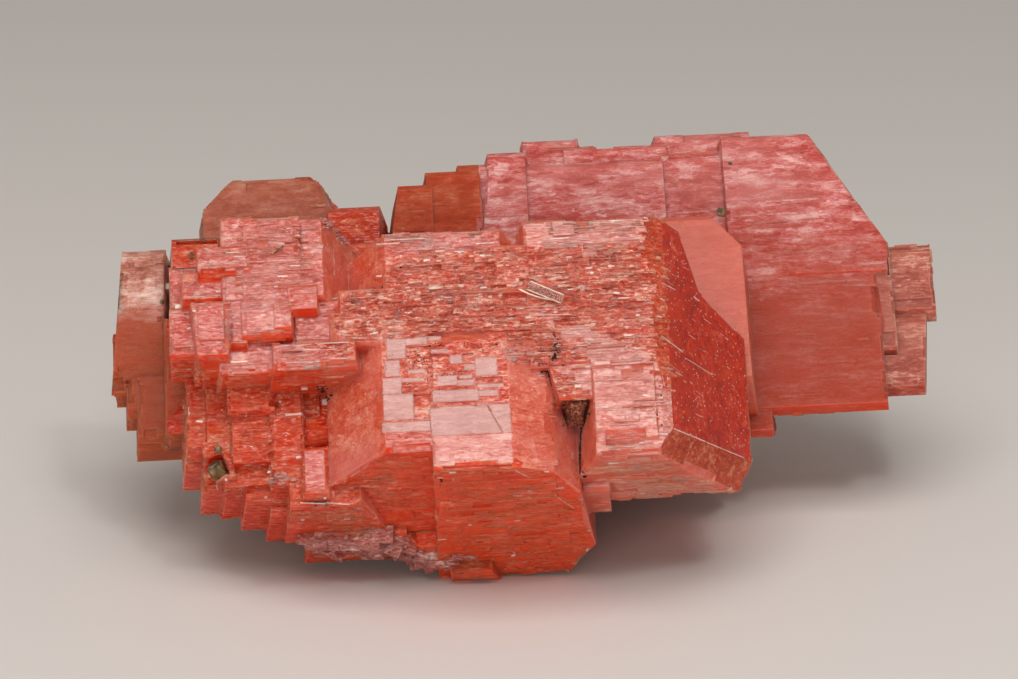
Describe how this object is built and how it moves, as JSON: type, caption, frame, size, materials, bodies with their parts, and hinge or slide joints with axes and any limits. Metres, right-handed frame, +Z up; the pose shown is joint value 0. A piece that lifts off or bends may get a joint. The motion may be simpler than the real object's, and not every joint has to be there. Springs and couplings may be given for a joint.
{
  "type": "serandite specimen",
  "caption": "Intergrown cluster of blocky salmon-pink serandite crystals with stepped, striated faces, resting on its lowest crystal faces.",
  "frame": {"origin": "middle of the specimen's footprint, on the plane that it rests on", "axes": "+Z up, -Y towards the front with the largest broad faces, +X to the right along the crystals' long axis"},
  "size_m": [0.0806, 0.0516, 0.0346],
  "materials": {
    "serandite": "satin",
    "clear_serandite": "gloss",
    "olive_mineral": "matte",
    "dark_fill": "matte"
  },
  "bodies": {
    "root": {"serandite_cluster": "serandite", "glassy_splinter": "clear_serandite", "olive_grain": "olive_mineral", "cleft_fill": "dark_fill"}
  },
  "joints": []
}
